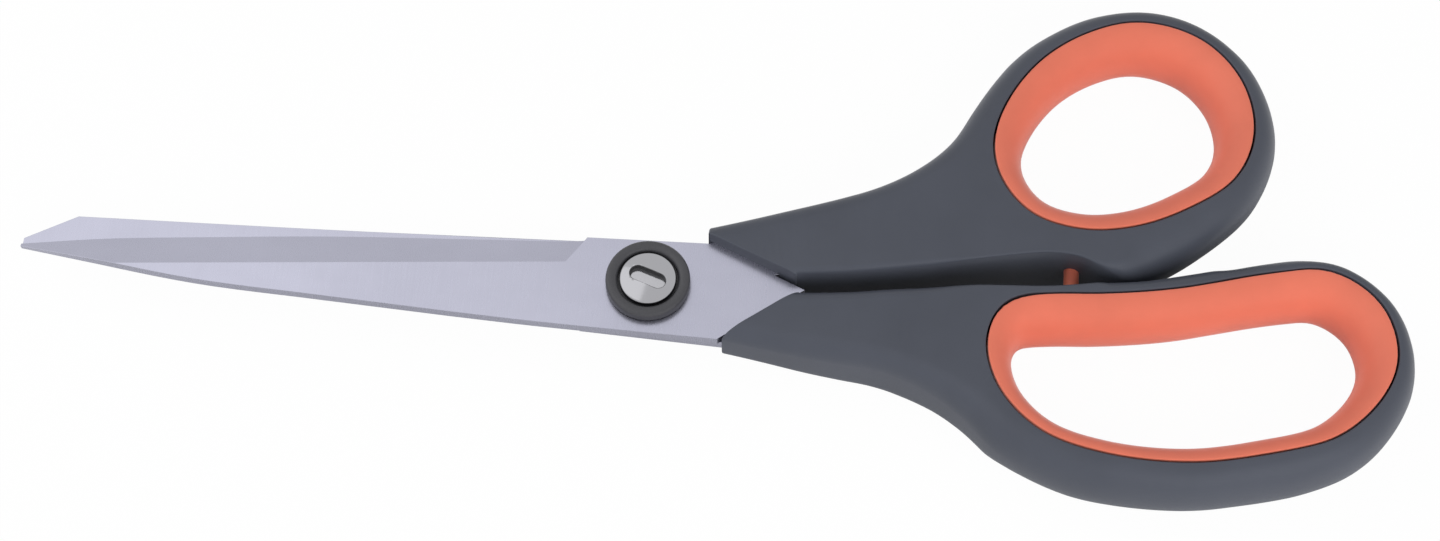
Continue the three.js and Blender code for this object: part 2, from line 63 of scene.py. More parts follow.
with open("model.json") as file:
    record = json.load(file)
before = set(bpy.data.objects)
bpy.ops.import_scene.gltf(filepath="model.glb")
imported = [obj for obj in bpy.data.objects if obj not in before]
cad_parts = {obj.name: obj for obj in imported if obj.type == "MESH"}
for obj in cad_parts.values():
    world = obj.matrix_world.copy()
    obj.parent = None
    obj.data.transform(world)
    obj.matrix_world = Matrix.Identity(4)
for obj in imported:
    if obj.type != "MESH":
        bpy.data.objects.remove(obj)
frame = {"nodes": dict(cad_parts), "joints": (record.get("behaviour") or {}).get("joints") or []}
CAD_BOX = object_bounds()

MM = 0.001
MERGE = 1e-6
PIVOT = Vector(frame["joints"][0]["pos_m"])
MIDDLE = PIVOT.z
THUMB_HALF = "thumb half"
FINGER_HALF = "finger half"

# Heights beside the middle plane at which a frame solid shows its plain outline
BESIDE_TANG = 1.7 * MM
BESIDE_TONGUE = 1.7 * MM

# Angles from which an edge of a finished piece shows as a crease
BLADE_CREASE = math.radians(12)
MOULDED_CREASE = math.radians(50)
WASHER_CREASE = math.radians(40)
TURNED_CREASE = math.radians(35)

# Facets of the small round forms
LIP_STEPS = 4
HEAD_EDGE_STEPS = 6
EXTRA_NOSE_STEPS = 7
SLOT_STEPS = 36
STOP_STEPS = 32
STOP_NOSE_STEPS = 10
TAPER_SLICES = 20
CROWN_LINES = 9

# Passes that even out a value around an outline
SHARE_PASSES = 30
WIDTH_PASSES = 12

# Places of the lamps from the camera's aim, and their width and depth
OVERHEAD_PLACE = Vector((-0.5, 0.12, 0.67))
OVERHEAD_SIZE = (0.9, 0.9)
FRONT_PLACE = Vector((0.33, -0.48, 0.36))
FRONT_SIZE = (0.6, 0.5)
SIDE_PLACE = Vector((-0.52, 0.22, 0.25))
SIDE_SIZE = (0.4, 0.4)

# Half the width of the floor, and its distance below the scissors
FLOOR_REACH = 3
FLOOR_GAP = 0.05 * MM


class BladeSizes(bpy.types.PropertyGroup):
    """Sizes of the steel blades."""

    edge_rounding: FloatProperty(
        name="Edge Rounding", description="Polished rounding of the blades' outer edges",
        default=0.12 * MM, unit="LENGTH")
    edge_steps: IntProperty(
        name="Edge Steps", description="Facets across a rounded edge", default=2)


class MouldingSizes(bpy.types.PropertyGroup):
    """Sizes of the moulded handles and their soft liners."""

    outline_step: FloatProperty(
        name="Outline Step", description="Length of one facet along a moulded outline",
        default=0.7 * MM, unit="LENGTH")
    side_rounding: FloatProperty(
        name="Side Rounding", description="How far the loops' rounding reaches in over the face",
        default=5.2 * MM, unit="LENGTH")
    face_rounding: FloatProperty(
        name="Face Rounding", description="How far the loops' rounding reaches down the side",
        default=5.7 * MM, unit="LENGTH")
    arm_share: FloatProperty(
        name="Arm Share", description="Share of the rounding that the handles' arms have",
        default=0.6, subtype="FACTOR", min=0.02, max=1)
    arm_end: FloatProperty(
        name="Arm End", description="Distance from the pivot at which the arms widen",
        default=38 * MM, unit="LENGTH")
    loop_start: FloatProperty(
        name="Loop Start", description="Distance from the pivot at which the loops are full",
        default=62 * MM, unit="LENGTH")
    meeting_share: FloatProperty(
        name="Meeting Share", description="Share of the rounding left where the handles meet",
        default=0.18, subtype="FACTOR", min=0.02, max=1)
    finger_share: FloatProperty(
        name="Finger Share", description="Share of it left on the finger handle's closing edge",
        default=0.4, subtype="FACTOR", min=0.02, max=1)
    finger_recess_share: FloatProperty(
        name="Finger Recess Share", description="Share left on the finger handle at the stop",
        default=0.1, subtype="FACTOR", min=0.02, max=1)
    meeting_end: FloatProperty(
        name="Meeting End", description="Distance from the pivot at which the recess opens",
        default=46 * MM, unit="LENGTH")
    recess_share: FloatProperty(
        name="Recess Share", description="Share left on the thumb handle at the stop",
        default=0.07, subtype="FACTOR", min=0.02, max=1)
    rounding_steps: IntProperty(
        name="Rounding Steps", description="Facets across a rounded edge", default=9)
    closing_end: FloatProperty(
        name="Closing End", description="Distance from the pivot to the end of the closing edges",
        default=72 * MM, unit="LENGTH")
    bolster_end: FloatProperty(
        name="Bolster End", description="Distance from the pivot to the meeting of the V ends",
        default=25 * MM, unit="LENGTH")
    v_corner: FloatProperty(
        name="V Corner", description="Reach of the rounded corner of a V end",
        default=2.5 * MM, unit="LENGTH")
    v_edge: FloatProperty(
        name="V Edge", description="Rounding of the edges of a V end",
        default=0.3 * MM, unit="LENGTH")
    bolster_thickness: FloatProperty(
        name="Bolster Thickness", description="Thickness of the handles at the blades",
        default=8.8 * MM, unit="LENGTH")
    taper_start: FloatProperty(
        name="Taper Start", description="Distance from the pivot at which the handles thicken",
        default=12 * MM, unit="LENGTH")
    taper_end: FloatProperty(
        name="Taper End", description="Distance from the pivot at which they are full",
        default=40 * MM, unit="LENGTH")
    seam_rounding: FloatProperty(
        name="Seam Rounding", description="Rounding of both lips of the seam around a liner",
        default=0.18 * MM, unit="LENGTH")
    nose_flat: FloatProperty(
        name="Nose Flat", description="Half the straight band at the middle of a liner's nose",
        default=0.3 * MM, unit="LENGTH")
    tongue_height: FloatProperty(
        name="Tongue Height", description="How far a liner's tongue stands into its groove",
        default=1.2 * MM, unit="LENGTH")
    tongue_half: FloatProperty(
        name="Tongue Half", description="Half the thickness of a liner's tongue",
        default=1.2 * MM, unit="LENGTH")
    groove_room: FloatProperty(
        name="Groove Room", description="Room between the tongue and its groove",
        default=0.3 * MM, unit="LENGTH")


class PivotSizes(bpy.types.PropertyGroup):
    """Sizes of the pivot screw, nut and cup washers."""

    round_steps: IntProperty(
        name="Round Steps", description="Facets around the turned pieces", default=96)
    head_thickness: FloatProperty(
        name="Head Thickness", description="Thickness of the screw head and the nut",
        default=1.7 * MM, unit="LENGTH")
    head_edge: FloatProperty(
        name="Head Edge", description="Rounding around the screw head and the nut",
        default=0.35 * MM, unit="LENGTH")
    head_crown: FloatProperty(
        name="Head Crown", description="Rise of the screw head from its edge to its middle",
        default=0.5 * MM, unit="LENGTH")
    barrel: FloatProperty(
        name="Barrel", description="Diameter of the bearing part of the screw",
        default=5 * MM, unit="LENGTH")
    stud: FloatProperty(
        name="Stud", description="Diameter of the threaded end of the screw",
        default=3.6 * MM, unit="LENGTH")
    slot_length: FloatProperty(
        name="Slot Length", description="Length of the slot in the head",
        default=5.8 * MM, unit="LENGTH")
    slot_width: FloatProperty(
        name="Slot Width", description="Width of the slot in the head",
        default=2.4 * MM, unit="LENGTH")
    slot_depth: FloatProperty(
        name="Slot Depth", description="Depth of the slot in the head",
        default=1.2 * MM, unit="LENGTH")
    slot_turn: FloatProperty(
        name="Slot Turn", description="Direction in which the slot stands",
        default=math.radians(-20.6), subtype="ANGLE")
    washer_floor: FloatProperty(
        name="Washer Floor", description="Thickness of the cup washers under the head",
        default=0.5 * MM, unit="LENGTH")
    washer_edge: FloatProperty(
        name="Washer Edge", description="Rounding around the cup washers",
        default=0.6 * MM, unit="LENGTH")
    washer_dish: FloatProperty(
        name="Washer Dish", description="Rounding of the cup washers' lips towards the head",
        default=0.8 * MM, unit="LENGTH")
    clearance: FloatProperty(
        name="Clearance", description="Room around the turned pieces",
        default=0.3 * MM, unit="LENGTH")


class Finishes(bpy.types.PropertyGroup):
    """Colours of the finishes."""

    steel: FloatVectorProperty(
        name="Ground Steel", description="Colour of the blades", subtype="COLOR",
        default=(0.41, 0.412, 0.495), min=0, max=1)
    bright_steel: FloatVectorProperty(
        name="Bright Steel", description="Colour of the screw and nut", subtype="COLOR",
        default=(0.38, 0.38, 0.4), min=0, max=1)
    # Painted shade: a dark colour that stands for the shade falling on the slot's walls.
    slot: FloatVectorProperty(
        name="Slot Steel", description="Colour of the walls of the screw's slot",
        subtype="COLOR", default=(0.1, 0.1, 0.105), min=0, max=1)
    handle: FloatVectorProperty(
        name="Handle Plastic", description="Colour of the rigid handles", subtype="COLOR",
        default=(0.069, 0.0755, 0.096), min=0, max=1)
    grip: FloatVectorProperty(
        name="Grip Rubber", description="Colour of the soft liners", subtype="COLOR",
        default=(0.765, 0.186, 0.115), min=0, max=1)
    washer: FloatVectorProperty(
        name="Washer Plastic", description="Colour of the cup washers", subtype="COLOR",
        default=(0.045, 0.045, 0.051), min=0, max=1)
    floor: FloatVectorProperty(
        name="Floor", description="Colour of the studio floor", subtype="COLOR",
        default=(0.92, 0.92, 0.92), min=0, max=1)


class StudioSettings(bpy.types.PropertyGroup):
    """View and light of the studio."""

    view_height: FloatProperty(
        name="View Height", description="Angle of the camera above the floor",
        default=math.radians(63), subtype="ANGLE")
    view_turn: FloatProperty(
        name="View Turn", description="Turn of the camera around the scissors",
        default=math.radians(4.17), subtype="ANGLE")
    view_distance: FloatProperty(
        name="View Distance", description="Distance of the camera from its aim",
        default=0.4, unit="LENGTH")
    view_aim: FloatVectorProperty(
        name="View Aim", description="Point that the camera looks at", subtype="XYZ",
        default=(0.001257, -0.007984, 0.006), unit="LENGTH")
    lens: FloatProperty(
        name="Lens", description="Focal length on a 36 mm sensor, in millimetres", default=64.64)
    overhead_power: FloatProperty(
        name="Overhead Power", description="Power of the softbox over the back, in watts",
        default=1.27)
    front_power: FloatProperty(
        name="Front Power", description="Power of the softbox at the front, in watts",
        default=3.6)
    side_power: FloatProperty(
        name="Side Power", description="Power of the softbox at the side, in watts",
        default=1.6)
    room_light: FloatProperty(
        name="Room Light", description="Brightness of the light from all around",
        default=0.32)
    floor_glow: FloatProperty(
        name="Floor Glow", description="Share of the floor's white that no shadow dims",
        default=0.97, subtype="FACTOR", min=0, max=1)


def turning(points, i):
    """Angle by which an outline turns at one of its points."""
    before = points[i] - points[i - 1]
    after = points[(i + 1) % len(points)] - points[i]
    return before.angle(after)


def section(node, height):
    """Closed outlines of a frame solid at a height, largest first, each running anticlockwise."""
    bm = bmesh.new()
    bm.from_mesh(frame["nodes"][node].data)
    bmesh.ops.remove_doubles(bm, verts=bm.verts, dist=MERGE)
    bmesh.ops.bisect_plane(
        bm, geom=[*bm.verts, *bm.edges, *bm.faces], dist=MERGE / 10,
        plane_co=(0, 0, height), plane_no=(0, 0, 1), clear_inner=True, clear_outer=True)
    bmesh.ops.remove_doubles(bm, verts=bm.verts, dist=MERGE)
    left = set(bm.verts)
    outlines = []
    while left:
        at = left.pop()
        points = [at.co.copy()]
        while True:
            beside = [e.other_vert(at) for e in at.link_edges]
            onward = [v for v in beside if v in left]
            if not onward:
                break
            at = onward[0]
            left.remove(at)
            points.append(at.co.copy())
        outlines.append(points)
    bm.free()
    if not outlines:
        raise RuntimeError(f"{node} has no outline at height {height}")
    for points in outlines:
        if area(points) < 0:
            points.reverse()
    outlines.sort(key=area, reverse=True)
    return [without_straight_points(points) for points in outlines]


def area(points):
    """Area of a level outline, negative where it runs clockwise."""
    pairs = zip(points, points[1:] + points[:1])
    return sum(a.x * b.y - b.x * a.y for a, b in pairs) / 2


def without_straight_points(points):
    """The outline without the points that lie inside a straight stretch."""
    straight = math.radians(0.25)
    return [p for i, p in enumerate(points) if turning(points, i) > straight]


def smooth_outline(points, step, corner=math.radians(28)):
    """The outline as one flowing curve in short steps, with its real corners kept."""
    apart = [(p - points[i - 1]).length > step / 2 for i, p in enumerate(points)]
    turns = [turning(points, i) > corner for i in range(len(points))]
    points = [p for i, p in enumerate(points) if apart[i] or turns[i] and not turns[i - 1]]
    count = len(points)
    heading = []
    for i, point in enumerate(points):
        before = point - points[i - 1]
        after = points[(i + 1) % count] - point
        blend = before.normalized() * after.length + after.normalized() * before.length
        sharp = turning(points, i) > corner
        heading.append(None if sharp else blend.normalized())
    flowing = []
    for i, start in enumerate(points):
        end = points[(i + 1) % count]
        chord = end - start
        leave = heading[i] or chord.normalized()
        arrive = heading[(i + 1) % count] or chord.normalized()
        reach = chord.length / 3
        pieces = max(1, round(chord.length / step))
        stretch = interpolate_bezier(
            start, start + leave * reach, end - arrive * reach, end, pieces + 1)
        flowing.extend(Vector(p) for p in stretch[:-1])
    return flowing


def outward(points):
    """Outward direction at each point, lengthened at corners so that offset sides stay parallel."""
    longest = 1.6
    directions = []
    for i, point in enumerate(points):
        before = (point - points[i - 1]).normalized()
        after = (points[(i + 1) % len(points)] - point).normalized()
        both = before + after
        side = Vector((both.y, -both.x, 0))
        directions.append(side.normalized() * min(2 / side.length, longest))
    return directions


def evened(values, passes):
    """Values around an outline, each blended with its neighbours."""
    for _ in range(passes):
        count = len(values)
        values = [
            (values[i - 1] + 2 * values[i] + values[(i + 1) % count]) / 4 for i in range(count)]
    return values


def gap_to(points, others):
    """Level distance from each point to the nearest of the other points."""
    tree = KDTree(len(others))
    for i, other in enumerate(others):
        tree.insert((other.x, other.y, 0), i)
    tree.balance()
    return [tree.find((p.x, p.y, 0))[2] for p in points]


def skirt(bm, points, rings):
    """Extrudes an outline from ring to ring. A ring gives the offset and height of each point.

    Returns the edges of the first and of the last ring.
    """
    place = bm.verts.layers.int.get("place") or bm.verts.layers.int.new("place")
    sides = outward(points)

    def put(vert, ring):
        i = vert[place]
        offset, height = ring(i)
        vert.co = Vector((points[i].x, points[i].y, height)) + sides[i] * offset

    verts = []
    for i in range(len(points)):
        vert = bm.verts.new()
        vert[place] = i
        put(vert, rings[0])
        verts.append(vert)
    first = [bm.edges.new((verts[i - 1], verts[i])) for i in range(len(verts))]
    edges = first
    for ring in rings[1:]:
        made = bmesh.ops.extrude_edge_only(bm, edges=edges)["geom"]
        edges = [g for g in made if isinstance(g, bmesh.types.BMEdge)]
        for vert in (g for g in made if isinstance(g, bmesh.types.BMVert)):
            put(vert, ring)
    return first, edges


def level(offset, height):
    """A ring at one offset and height all the way round."""
    return lambda i: (offset, height)


def rounding(steps):
    """Shares of the way in and up along a quarter round, after its start."""
    quarter = [math.pi / 2 * k / steps for k in range(1, steps + 1)]
    return [(1 - math.cos(turn), math.sin(turn)) for turn in quarter]


def mirrored_in_middle(bm):
    """Adds the mirror image below the middle plane and joins the halves."""
    bmesh.ops.mirror(
        bm, geom=[*bm.verts, *bm.edges, *bm.faces],
        matrix=Matrix.Translation((0, 0, -MIDDLE)), merge_dist=MERGE, axis="Z")
    bmesh.ops.remove_doubles(bm, verts=bm.verts, dist=MERGE)


def piece(bm, name, node, body, material, crease):
    """Makes a finished piece of the mesh, which stands for a node and rides on its body."""
    bmesh.ops.remove_doubles(bm, verts=bm.verts, dist=MERGE)
    bmesh.ops.recalc_face_normals(bm, faces=bm.faces)
    mesh = bpy.data.meshes.new(name)
    bm.to_mesh(mesh)
    bm.free()
    mesh.shade_smooth()
    mesh.set_sharp_from_angle(angle=crease)
    mesh.materials.append(material)
    obj = bpy.data.objects.new(name, mesh)
    bpy.context.scene.collection.objects.link(obj)
    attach(obj, body)
    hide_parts(node)
    return obj


def finish(name):
    """The material of a name, made where it is missing, with its node tree and main shader."""
    material = bpy.data.materials.get(name)
    if material is None:
        material = bpy.data.materials.new(name)
        material.use_nodes = True
    return material, material.node_tree, material.node_tree.nodes["Principled BSDF"]


def add_node(tree, kind, **values):
    """A node with its settings and unlinked inputs."""
    node = tree.nodes.new(kind)
    for key, value in values.items():
        if hasattr(node, key):
            setattr(node, key, value)
        else:
            node.inputs[key].default_value = value
    return node


def grain(tree, scale, detail=4):
    """Noise on the object's own coordinates, in cycles for each metre along each axis."""
    place = add_node(tree, "ShaderNodeTexCoord")
    mapping = add_node(tree, "ShaderNodeMapping")
    mapping.inputs["Scale"].default_value = scale
    noise = add_node(tree, "ShaderNodeTexNoise", Scale=1, Detail=detail, Roughness=0.6)
    tree.links.new(place.outputs["Object"], mapping.inputs["Vector"])
    tree.links.new(mapping.outputs["Vector"], noise.inputs["Vector"])
    return noise.outputs["Fac"]


def spread(tree, value, low, high, start=0.3, end=0.7):
    """The value spread between a low and a high number."""
    ranged = add_node(tree, "ShaderNodeMapRange")
    ranged.inputs["From Min"].default_value = start
    ranged.inputs["From Max"].default_value = end
    ranged.inputs["To Min"].default_value = low
    ranged.inputs["To Max"].default_value = high
    tree.links.new(value, ranged.inputs["Value"])
    return ranged.outputs["Result"]


def tinted(tree, value, colour, darker, lighter):
    """The colour, varied between a darker and a lighter share of itself."""
    ramp = add_node(tree, "ShaderNodeValToRGB")
    ramp.color_ramp.elements[0].position = 0.3
    ramp.color_ramp.elements[1].position = 0.7
    ramp.color_ramp.elements[0].color = (*(min(1, c * darker) for c in colour), 1)
    ramp.color_ramp.elements[1].color = (*(min(1, c * lighter) for c in colour), 1)
    tree.links.new(value, ramp.inputs["Fac"])
    return ramp.outputs["Color"]


def bumped(tree, shader, height, strength, distance):
    """Gives the shader a fine relief."""
    bump = add_node(tree, "ShaderNodeBump", Strength=strength, Distance=distance)
    tree.links.new(height, bump.inputs["Height"])
    tree.links.new(bump.outputs["Normal"], shader.inputs["Normal"])


def ground_steel(colours):
    """Stainless steel with fine grinding marks across the blade."""
    material, tree, shader = finish("ground steel")
    shader.inputs["Metallic"].default_value = 1
    marks = grain(tree, (3000, 120, 120), detail=3)
    clouds = grain(tree, (60, 90, 60), detail=3)
    tree.links.new(tinted(tree, clouds, colours.steel, 0.96, 1.03), shader.inputs["Base Color"])
    tree.links.new(spread(tree, marks, 0.26, 0.3), shader.inputs["Roughness"])
    bumped(tree, shader, marks, 0.03, 0.01 * MM)
    return material


def bright_steel(colours):
    """Polished steel with faint turning marks around the pivot."""
    material, tree, shader = finish("bright steel")
    shader.inputs["Metallic"].default_value = 1
    shader.inputs["Base Color"].default_value = (*colours.bright_steel, 1)
    place = add_node(tree, "ShaderNodeTexCoord")
    mapping = add_node(tree, "ShaderNodeMapping")
    mapping.inputs["Location"].default_value = -PIVOT
    rings = add_node(
        tree, "ShaderNodeTexWave", wave_type="RINGS", rings_direction="Z", Scale=1500,
        Distortion=1.5, Detail=2)
    tree.links.new(place.outputs["Object"], mapping.inputs["Vector"])
    tree.links.new(mapping.outputs["Vector"], rings.inputs["Vector"])
    turned = rings.outputs["Fac"]
    tree.links.new(spread(tree, turned, 0.1, 0.16, 0, 1), shader.inputs["Roughness"])
    bumped(tree, shader, turned, 0.08, 0.01 * MM)
    return material


def slot_steel_painted_shade(colours):
    """The rough steel of the walls of the screw's slot, coloured far darker to paint the shade that
    falls in the slot.
    """
    material, tree, shader = finish("slot steel painted shade")
    shader.inputs["Metallic"].default_value = 1
    dirt_and_shade = grain(tree, (2500, 2500, 2500), detail=4)
    # Painted shade: the slot colour is far darker than the bright steel, for the shade in the slot;
    # the grain varies its tone at random.
    tree.links.new(tinted(tree, dirt_and_shade, colours.slot, 0.7, 1.2), shader.inputs["Base Color"])
    tree.links.new(spread(tree, dirt_and_shade, 0.4, 0.6), shader.inputs["Roughness"])
    return material


def handle_plastic(colours):
    """Charcoal plastic with the fine satin grain of the mould."""
    material, tree, shader = finish("handle plastic")
    shader.inputs["Specular IOR Level"].default_value = 0.26
    satin = grain(tree, (3500, 3500, 3500), detail=2)
    clouds = grain(tree, (70, 70, 70), detail=3)
    tree.links.new(tinted(tree, clouds, colours.handle, 0.94, 1.06), shader.inputs["Base Color"])
    tree.links.new(spread(tree, satin, 0.36, 0.44), shader.inputs["Roughness"])
    bumped(tree, shader, satin, 0.1, 0.03 * MM)
    return material


def grip_rubber(colours):
    """Soft coral rubber with a matt skin."""
    material, tree, shader = finish("grip rubber")
    shader.inputs["Specular IOR Level"].default_value = 0.4
    shader.inputs["Sheen Weight"].default_value = 0.4
    shader.inputs["Sheen Roughness"].default_value = 0.4
    skin = grain(tree, (2600, 2600, 2600), detail=3)
    clouds = grain(tree, (90, 90, 90), detail=3)
    tree.links.new(tinted(tree, clouds, colours.grip, 0.95, 1.04), shader.inputs["Base Color"])
    tree.links.new(spread(tree, skin, 0.5, 0.6), shader.inputs["Roughness"])
    bumped(tree, shader, skin, 0.06, 0.03 * MM)
    return material


def washer_plastic(colours):
    """Black satin plastic with faint moulding marks."""
    material, tree, shader = finish("washer plastic")
    satin = grain(tree, (3000, 3000, 3000), detail=2)
    tree.links.new(tinted(tree, satin, colours.washer, 0.9, 1.1), shader.inputs["Base Color"])
    tree.links.new(spread(tree, satin, 0.38, 0.48), shader.inputs["Roughness"])
    bumped(tree, shader, satin, 0.08, 0.02 * MM)
    return material


def blade(node, body, sizes, material):
    """A blade with its outer edges polished off and its grinding ridge kept crisp."""
    bm = bmesh.new()
    bm.from_mesh(frame["nodes"][node].data)
    bmesh.ops.remove_doubles(bm, verts=bm.verts, dist=MERGE)
    nearly_flat = math.radians(0.3)
    outer_edge = math.radians(35)
    bmesh.ops.dissolve_limit(bm, angle_limit=nearly_flat, verts=bm.verts, edges=bm.edges)
    edges = [e for e in bm.edges if e.is_manifold and e.calc_face_angle() > outer_edge]
    bmesh.ops.bevel(
        bm, geom=edges, offset=sizes.edge_rounding, offset_type="OFFSET", affect="EDGES",
        segments=sizes.edge_steps, profile=0.5, clamp_overlap=True, material=-1)
    return piece(bm, node + "_steel", node, body, material, BLADE_CREASE)


def eased(value, start, end):
    """A share that grows softly from nought at the start to one at the end."""
    along = min(1, max(0, (value - start) / (end - start)))
    return along * along * (3 - 2 * along)


def thickness_share(x, sizes):
    """Share of the full thickness that a handle has at a distance from the pivot."""
    full = CAD_BOX[1].z - CAD_BOX[0].z
    least = sizes.bolster_thickness / full
    return least + (1 - least) * eased(x - PIVOT.x, sizes.taper_start, sizes.taper_end)


def run_past_v_end(points, sizes):
    """The outline carried straight on past the handle's V end, and the V line that ends it."""
    count = len(points)
    steep = -0.35
    longest = 0
    for i, point in enumerate(points):
        along = points[(i + 1) % count] - point
        towards_blades = along.normalized().y < steep
        if towards_blades and point.x < PIVOT.x + sizes.bolster_end and along.length > longest:
            longest = along.length
            first = i
    start = points[first]
    end = points[(first + 1) % count]
    rest = [points[(first + 2 + k) % count] for k in range(count - 2)]
    near = sizes.v_corner
    rest = [p for p in rest if min((p - start).length, (p - end).length) > near]
    run_out = 0.8 * longest
    far = min(start.x, end.x) - run_out
    onward = rest[-1] + (rest[-1] - rest[-2]) * ((far - rest[-1].x) / (rest[-1] - rest[-2]).x)
    back = rest[0] + (rest[0] - rest[1]) * ((far - rest[0].x) / (rest[0] - rest[1]).x)
    return [back, *rest, onward], (start, end)


def cut_off(bm, place, onward, edge):
    """Cuts a handle off at a place and rounds the edge of the cut."""
    cut = bmesh.ops.bisect_plane(
        bm, geom=[*bm.verts, *bm.edges, *bm.faces], dist=MERGE,
        plane_co=place - onward * edge, plane_no=onward, clear_outer=True)["geom_cut"]
    verts = [g for g in cut if isinstance(g, bmesh.types.BMVert)]
    bmesh.ops.remove_doubles(bm, verts=verts, dist=edge / 10)
    edges = [e for e in bm.edges if e.is_boundary]
    end = bmesh.ops.holes_fill(bm, edges=edges, sides=0)["faces"]
    bmesh.ops.recalc_face_normals(bm, faces=bm.faces)
    at_inward, at_up = 0, 0
    for inward, up in rounding(LIP_STEPS):
        bmesh.ops.inset_region(
            bm, faces=end, thickness=(inward - at_inward) * edge, depth=(up - at_up) * edge,
            use_boundary=True, use_even_offset=False)
        at_inward, at_up = inward, up


def cut_v_end(bm, v_line, tip, sizes):
    """Cuts a handle off along its V line, and blunts the point that stands out past its tip."""
    along = v_line[1] - v_line[0]
    towards_blades = Vector((along.y, -along.x, 0)).normalized()
    edge = sizes.v_edge
    cut_off(bm, v_line[0], towards_blades, edge)
    point = min((v.co for v in bm.verts), key=lambda co: co.x)
    blunt = 1.5 * edge
    worth_cutting = 3 * blunt
    if tip - point.x > worth_cutting:
        cut_off(bm, Vector((tip, point.y, point.z)), Vector((-1, 0, 0)), blunt)


def handle(node, body, facing, beside, sizes, material):
    """A moulded handle: rounded outside, crisp along the closing edge and the V end."""
    step = sizes.outline_step
    outer, hole = section(node, MIDDLE + beside)[:2]
    tip = min(p.x for p in outer)
    outer, v_line = run_past_v_end(outer, sizes)
    outer = smooth_outline(outer, step)
    opening = smooth_outline(hole, step)
    top = CAD_BOX[1].z
    lip = sizes.seam_rounding
    least_inset = 0.1 * MM
    beside_seam = 1.4 * lip
    ends = (min(p.x for p in outer), min(p.x for p in v_line))
    cut_away = sum(ends) / 2
    meeting_share, recess_share = sizes.meeting_share, sizes.recess_share
    if facing > 0:
        meeting_share, recess_share = sizes.finger_share, sizes.finger_recess_share
    across = 0.5
    shares = []
    for point, side in zip(outer, outward(outer)):
        along = point.x - PIVOT.x
        closing = side.y * facing > across and along < sizes.closing_end
        if closing or point.x < cut_away:
            share = meeting_share if along < sizes.meeting_end else recess_share
        else:
            loop = eased(along, sizes.arm_end, sizes.loop_start)
            share = sizes.arm_share + (1 - sizes.arm_share) * loop
        shares.append(share)
    shares = evened(shares, SHARE_PASSES)
    room = [max(least_inset, gap - beside_seam) for gap in gap_to(outer, opening)]
    insets = [min(share * sizes.side_rounding, free) for share, free in zip(shares, room)]

    def rounded(inward, up):
        return lambda i: (
            -inward * insets[i], top - (1 - up) * shares[i] * sizes.face_rounding)

    bm = bmesh.new()
    steps = [(0, 0), *rounding(sizes.rounding_steps)]
    rings = [level(0, MIDDLE), *(rounded(*s) for s in steps)]
    rim = skirt(bm, outer, rings)[1]

    groove = sizes.tongue_height
    half = sizes.tongue_half + sizes.groove_room
    lips = [level((1 - out) * lip, top - down * lip) for down, out in rounding(LIP_STEPS)]
    seam = [
        level(lip, top), *lips, level(0, MIDDLE + half), level(groove, MIDDLE + half),
        level(groove, MIDDLE)]
    mouth = skirt(bm, opening, seam)[0]
    bmesh.ops.triangle_fill(bm, use_beauty=True, edges=rim + mouth)
    mirrored_in_middle(bm)
    cut_v_end(bm, v_line, tip, sizes)
    for k in range(TAPER_SLICES + 1):
        x = PIVOT.x + sizes.taper_start
        x += (sizes.taper_end - sizes.taper_start) * k / TAPER_SLICES
        bmesh.ops.bisect_plane(
            bm, geom=[*bm.verts, *bm.edges, *bm.faces], dist=MERGE,
            plane_co=(x, 0, 0), plane_no=(1, 0, 0))
    for vert in bm.verts:
        vert.co.z = MIDDLE + (vert.co.z - MIDDLE) * thickness_share(vert.co.x, sizes)
    return piece(bm, node + "_moulding", node, body, material, MOULDED_CREASE)


def grip(node, body, sizes, material):
    """A soft liner: a full round nose towards the finger and a tongue in the handle's groove."""
    step = sizes.outline_step
    hole = smooth_outline(section(node, MIDDLE)[-1], step)
    back = smooth_outline(section(node, MIDDLE + BESIDE_TONGUE)[0], step / 4)
    widths = evened(gap_to(hole, back), WIDTH_PASSES)
    top = CAD_BOX[1].z
    height = top - MIDDLE - sizes.nose_flat
    lip = sizes.seam_rounding

    def nose(inward, up):
        return lambda i: (inward * (widths[i] - lip), MIDDLE + sizes.nose_flat + up * height)

    def back_at(offset, z):
        return lambda i: (widths[i] + offset, z)

    quarter = rounding(LIP_STEPS)
    lips = [back_at(-(1 - up) * lip, top - inward * lip) for inward, up in quarter]
    tongue = sizes.tongue_height
    half = sizes.tongue_half
    rings = [level(0, MIDDLE), level(0, MIDDLE + sizes.nose_flat)]
    rings += [nose(*s) for s in rounding(sizes.rounding_steps + EXTRA_NOSE_STEPS)]
    rings += lips
    rings += [back_at(0, MIDDLE + half), back_at(tongue, MIDDLE + half), back_at(tongue, MIDDLE)]
    bm = bmesh.new()
    skirt(bm, hole, rings)
    mirrored_in_middle(bm)
    return piece(bm, node + "_liner", node, body, material, MOULDED_CREASE)


def circle(radius, count):
    """Points around the pivot's axis."""
    turns = (2 * math.pi * k / count for k in range(count))
    return [PIVOT + Vector((math.cos(t), math.sin(t), 0)) * radius for t in turns]


def turned(bm, count, radius, profile):
    """Turns a profile of radii and heights about the pivot, and returns its end edges."""
    return skirt(bm, circle(radius, count), [level(r - radius, z) for r, z in profile])


def corner(radius, z, size, up, steps=LIP_STEPS):
    """A rounded corner of a turned profile, from its side towards its face."""
    return [(radius - size * a, z + up * size * b - up * size) for a, b in rounding(steps)]


